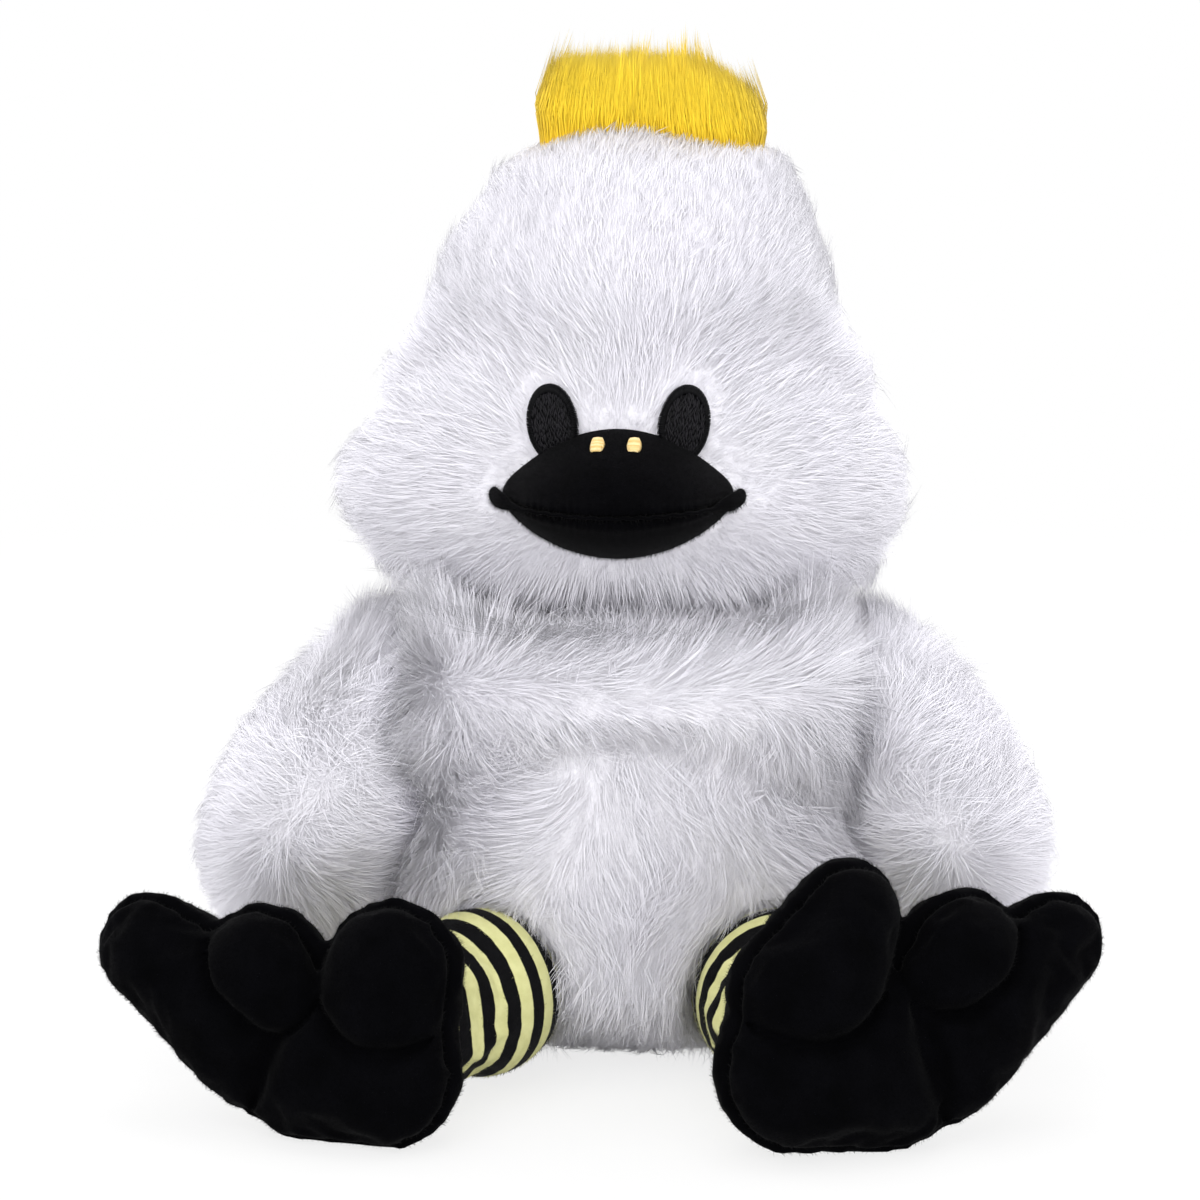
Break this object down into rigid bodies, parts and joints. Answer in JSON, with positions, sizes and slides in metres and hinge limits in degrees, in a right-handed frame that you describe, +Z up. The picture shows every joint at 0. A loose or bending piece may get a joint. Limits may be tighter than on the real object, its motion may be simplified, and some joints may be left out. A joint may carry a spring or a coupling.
{
  "type": "plush goose",
  "caption": "Sitting stuffed goose with long white fur, a yellow crest, a flat black bill, striped legs and soft black feet; head, wings, legs and feet move at their seams.",
  "frame": {"origin": "middle of the flat seat under the body, on the surface that the goose sits on", "axes": "+Z up, the goose faces -Y, its own left is +X"},
  "size_m": [0.2369, 0.1829, 0.2486],
  "materials": {
    "white_fur": "long soft pile, matt",
    "stuffing": "loose polyester wadding, matt",
    "pellet_cloth": "plain woven bag, matt",
    "black_plush": "short dense pile, matt with a soft sheen",
    "gold_thread": "satin stitch, silky",
    "black_thread": "dense embroidery, silky",
    "crest_base": "knitted backing, matt",
    "yellow_fur": "long soft pile, matt",
    "striped_knit": "smooth knit in black and pale yellow bands"
  },
  "bodies": {
    "body": {"body_cover": "white_fur", "body_fill": "stuffing", "seat_pellet_bag": "pellet_cloth"},
    "neck": {"neck_fill": "stuffing"},
    "head": {"head_cover": "white_fur", "head_fill": "stuffing", "beak_upper_cover": "black_plush", "beak_lower_cover": "black_plush", "beak_fill": "stuffing", "nostril_left": "gold_thread", "nostril_right": "gold_thread", "eye_left": "black_thread", "eye_right": "black_thread", "crest_backing": "crest_base", "crest_tuft": "yellow_fur"},
    "wing_left": {"wing_left_cover": "white_fur", "wing_left_fill": "stuffing"},
    "leg_left": {"leg_left_cover": "striped_knit", "leg_left_fill": "stuffing"},
    "foot_left": {"foot_left_sole": "black_plush", "foot_left_upper": "black_plush", "foot_left_fill": "stuffing"},
    "wing_right": {"wing_right_cover": "white_fur", "wing_right_fill": "stuffing"},
    "leg_right": {"leg_right_cover": "striped_knit", "leg_right_fill": "stuffing"},
    "foot_right": {"foot_right_sole": "black_plush", "foot_right_upper": "black_plush", "foot_right_fill": "stuffing"}
  },
  "joints": [
    {"name": "head_turn", "type": "hinge", "parent": "body", "child": "neck", "pos_m": [0, 0, 0.112], "axis": [0, 0, 1], "range_deg": [-35, 35], "stiffness_Nm_per_rad": 0.15},
    {"name": "head_nod", "type": "hinge", "parent": "neck", "child": "head", "pos_m": [0, 0, 0.112], "axis": [0.9989, -0.0471, 0], "range_deg": [-7, 7], "stiffness_Nm_per_rad": 0.6},
    {"name": "wing_left_lift", "type": "hinge", "parent": "body", "child": "wing_left", "pos_m": [0.054, -0.008, 0.108], "axis": [0, -1, 0], "range_deg": [0, 45], "stiffness_Nm_per_rad": 0.04},
    {"name": "leg_left_swing", "type": "hinge", "parent": "body", "child": "leg_left", "pos_m": [0.03595, -0.04948, 0.0225], "axis": [-0.9397, -0.342, 0], "range_deg": [-30, 12], "stiffness_Nm_per_rad": 0.12},
    {"name": "foot_left_tilt", "type": "hinge", "parent": "leg_left", "child": "foot_left", "pos_m": [0.04893, -0.08516, 0.02098], "axis": [-0.9511, -0.309, 0], "range_deg": [-15, 15], "stiffness_Nm_per_rad": 0.06},
    {"name": "wing_right_lift", "type": "hinge", "parent": "body", "child": "wing_right", "pos_m": [-0.054, -0.008, 0.108], "axis": [0, 1, 0], "range_deg": [0, 45], "stiffness_Nm_per_rad": 0.04},
    {"name": "leg_right_swing", "type": "hinge", "parent": "body", "child": "leg_right", "pos_m": [-0.03595, -0.04948, 0.0225], "axis": [-0.7071, 0.7071, 0], "range_deg": [-30, 12], "stiffness_Nm_per_rad": 0.12},
    {"name": "foot_right_tilt", "type": "hinge", "parent": "leg_right", "child": "foot_right", "pos_m": [-0.06279, -0.07632, 0.02072], "axis": [-0.9511, 0.309, 0], "range_deg": [-15, 15], "stiffness_Nm_per_rad": 0.06}
  ]
}
